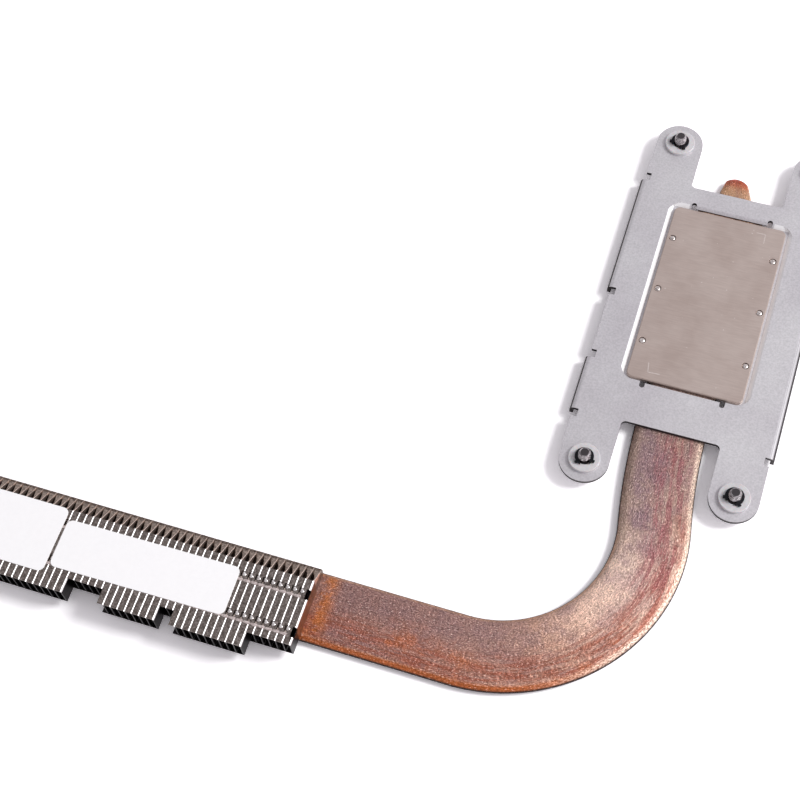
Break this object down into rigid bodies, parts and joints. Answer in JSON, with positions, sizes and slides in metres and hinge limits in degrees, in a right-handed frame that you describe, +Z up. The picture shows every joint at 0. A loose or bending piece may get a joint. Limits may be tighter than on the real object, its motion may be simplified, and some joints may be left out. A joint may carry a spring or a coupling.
{
  "type": "cpu heatsink",
  "caption": "Laptop processor cooler: flattened copper heat pipe bent through a right angle, zipper-fin stack, staked contact plate on a sheet bracket with captive screws.",
  "frame": {"origin": "centre of the four screws' rectangle, on the flat underside of the heat pipe", "axes": "+X away from the fin stack, +Y along the bracket to the pipe's sealed tip, +Z up, out of the contact plate"},
  "size_m": [0.1307, 0.1127, 0.0061],
  "materials": {
    "copper": "tarnished bare copper, satin",
    "sheet_metal": "matte stamped sheet",
    "nickel_plate": "nickel-plated copper, fine brushed",
    "fin_metal": "dull tarnished sheet",
    "screw_steel": "dark zinc",
    "ring_steel": "blackened spring steel",
    "washer_plastic": "white plastic",
    "label_paper": "blank white label stock"
  },
  "bodies": {
    "base": {"heat_pipe": "copper", "bracket": "sheet_metal", "cold_plate": "nickel_plate", "washer_1": "washer_plastic", "washer_2": "washer_plastic", "washer_3": "washer_plastic", "washer_4": "washer_plastic", "fins_end": "fin_metal", "fins_block_1": "fin_metal", "fins_notch_1": "fin_metal", "fins_block_2": "fin_metal", "fins_notch_2": "fin_metal", "fins_block_3": "fin_metal", "fins_block_4": "fin_metal", "label_long": "label_paper", "label_big": "label_paper"},
    "ring_1": {"e_ring_1": "ring_steel"},
    "captive_screw_1": {"screw_1": "screw_steel"},
    "ring_2": {"e_ring_2": "ring_steel"},
    "captive_screw_2": {"screw_2": "screw_steel"},
    "ring_3": {"e_ring_3": "ring_steel"},
    "captive_screw_3": {"screw_3": "screw_steel"},
    "ring_4": {"e_ring_4": "ring_steel"},
    "captive_screw_4": {"screw_4": "screw_steel"}
  },
  "joints": [
    {"name": "screw_1_lift", "type": "slide", "parent": "base", "child": "ring_1", "axis": [0, 0, 1], "range_m": [0, 0.0006]},
    {"name": "screw_1_turn", "type": "hinge", "parent": "ring_1", "child": "captive_screw_1", "pos_m": [-0.01185, -0.03155, 0.003], "axis": [0, 0, 1], "continuous": true},
    {"name": "screw_2_lift", "type": "slide", "parent": "base", "child": "ring_2", "axis": [0, 0, 1], "range_m": [0, 0.0006]},
    {"name": "screw_2_turn", "type": "hinge", "parent": "ring_2", "child": "captive_screw_2", "pos_m": [0.01185, -0.03155, 0.003], "axis": [0, 0, 1], "continuous": true},
    {"name": "screw_3_lift", "type": "slide", "parent": "base", "child": "ring_3", "axis": [0, 0, 1], "range_m": [0, 0.0006]},
    {"name": "screw_3_turn", "type": "hinge", "parent": "ring_3", "child": "captive_screw_3", "pos_m": [-0.01185, 0.03155, 0.003], "axis": [0, 0, 1], "continuous": true},
    {"name": "screw_4_lift", "type": "slide", "parent": "base", "child": "ring_4", "axis": [0, 0, 1], "range_m": [0, 0.0006]},
    {"name": "screw_4_turn", "type": "hinge", "parent": "ring_4", "child": "captive_screw_4", "pos_m": [0.01185, 0.03155, 0.003], "axis": [0, 0, 1], "continuous": true}
  ]
}
